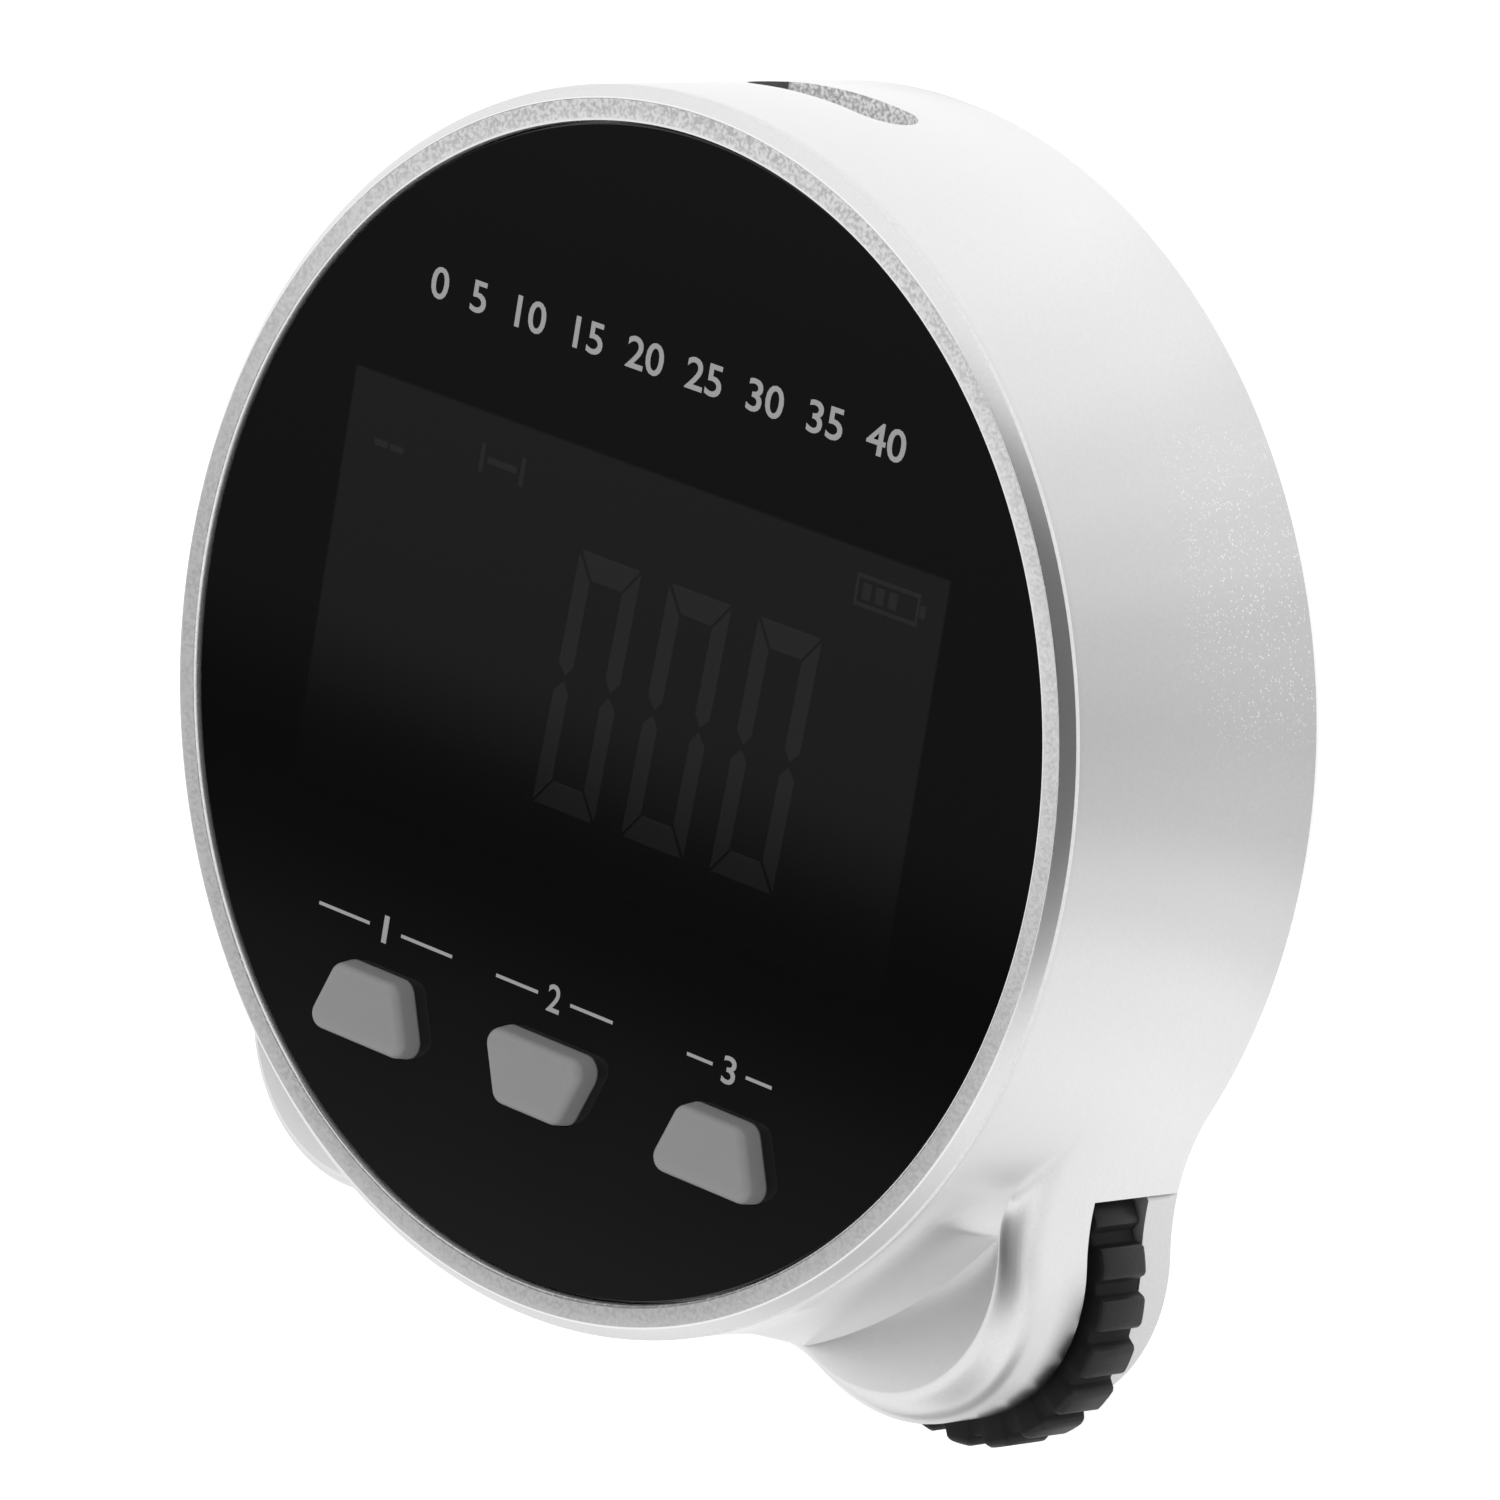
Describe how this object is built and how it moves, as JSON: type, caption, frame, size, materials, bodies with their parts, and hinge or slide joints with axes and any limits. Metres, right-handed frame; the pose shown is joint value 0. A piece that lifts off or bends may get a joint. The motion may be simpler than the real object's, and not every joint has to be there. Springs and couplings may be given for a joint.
{
  "type": "digital measuring wheel",
  "caption": "Palm-sized round silver measuring gauge with a glossy black display face, grey keys, two rounded feet and a toothed rubber roller run along the thing to measure",
  "frame": {"origin": "middle of the footprint, on the plane of the back cover's outer face", "axes": "+Z out of the display, +Y towards the top of the display, +X to its right as it is read"},
  "size_m": [0.07, 0.0719, 0.0215],
  "materials": {
    "case_silver": "satin metallic silver with a fine sparkle; sanded grain on the rim",
    "cover_silver": "satin silver-grey moulding",
    "gloss_black": "polished clear window, printed black behind",
    "adhesive": "black foam tape",
    "display_glass": "dark liquid crystal glass",
    "diffuser": "milky white light guide",
    "rubber": "matt black rubber",
    "key_grey": "matt mid grey plastic, soft edges",
    "board_green": "green solder mask with tinned pads",
    "chip_black": "black moulded package",
    "black_plastic": "fine-textured black moulding",
    "white_plastic": "smooth white acetal",
    "steel": "nickel-plated steel",
    "brass": "turned brass",
    "cell_wrap": "plain printed wrap, steel ends"
  },
  "bodies": {
    "case": {"housing": "case_silver", "back_cover": "cover_silver", "front_lens": "gloss_black", "lens_adhesive": "adhesive", "lcd_glass": "display_glass", "lcd_backlight": "diffuser", "zebra_strip": "rubber", "main_board": "board_green", "controller_chip": "chip_black", "key_switch_left": "black_plastic", "key_switch_middle": "black_plastic", "key_switch_right": "black_plastic", "battery_tray": "black_plastic", "light_gate": "black_plastic", "strap_pin": "steel", "cover_screw_1": "steel", "cover_screw_2": "steel", "cover_screw_3": "steel", "cover_screw_4": "steel", "crystal": "steel", "board_screw_1": "steel", "board_screw_2": "steel", "board_screw_3": "steel", "contact_bridge": "steel", "contact_plus": "steel", "contact_minus": "steel", "spring_bridge": "steel", "spring_minus": "steel", "axle_bush_back": "brass", "axle_bush_front": "brass", "cell_upper": "cell_wrap", "cell_lower": "cell_wrap"},
    "roller": {"roller_tyre": "rubber", "roller_hub": "white_plastic", "roller_axle": "steel", "drive_gear": "white_plastic"},
    "encoder": {"encoder_shaft": "steel", "encoder_pinion": "white_plastic", "encoder_disc": "black_plastic"},
    "key_left": {"key_left": "key_grey"},
    "key_middle": {"key_middle": "key_grey"},
    "key_right": {"key_right": "key_grey"},
    "door": {"battery_door": "cover_silver"}
  },
  "joints": [
    {"name": "roller_spin", "type": "hinge", "parent": "case", "child": "roller", "pos_m": [0.02143, -0.02597, 0.005], "axis": [0, 0, 1], "continuous": true},
    {"name": "encoder_spin", "type": "hinge", "parent": "case", "child": "encoder", "pos_m": [0.01576, -0.01885, 0.009], "axis": [0, 0, 1], "continuous": true},
    {"name": "key_left_press", "type": "slide", "parent": "case", "child": "key_left", "axis": [0, 0, -1], "range_m": [0, 0.0006], "stiffness_N_per_m": 800, "springref_m": -0.0005},
    {"name": "key_middle_press", "type": "slide", "parent": "case", "child": "key_middle", "axis": [0, 0, -1], "range_m": [0, 0.0006], "stiffness_N_per_m": 800, "springref_m": -0.0005},
    {"name": "key_right_press", "type": "slide", "parent": "case", "child": "key_right", "axis": [0, 0, -1], "range_m": [0, 0.0006], "stiffness_N_per_m": 800, "springref_m": -0.0005},
    {"name": "door_hinge", "type": "hinge", "parent": "case", "child": "door", "pos_m": [0, -0.00678, 0.0007], "axis": [-1, 0, 0], "range_deg": [0, 85]}
  ],
  "couplings": [
    {"joint": "encoder_spin", "follows": "roller_spin", "ratio": -2}
  ]
}
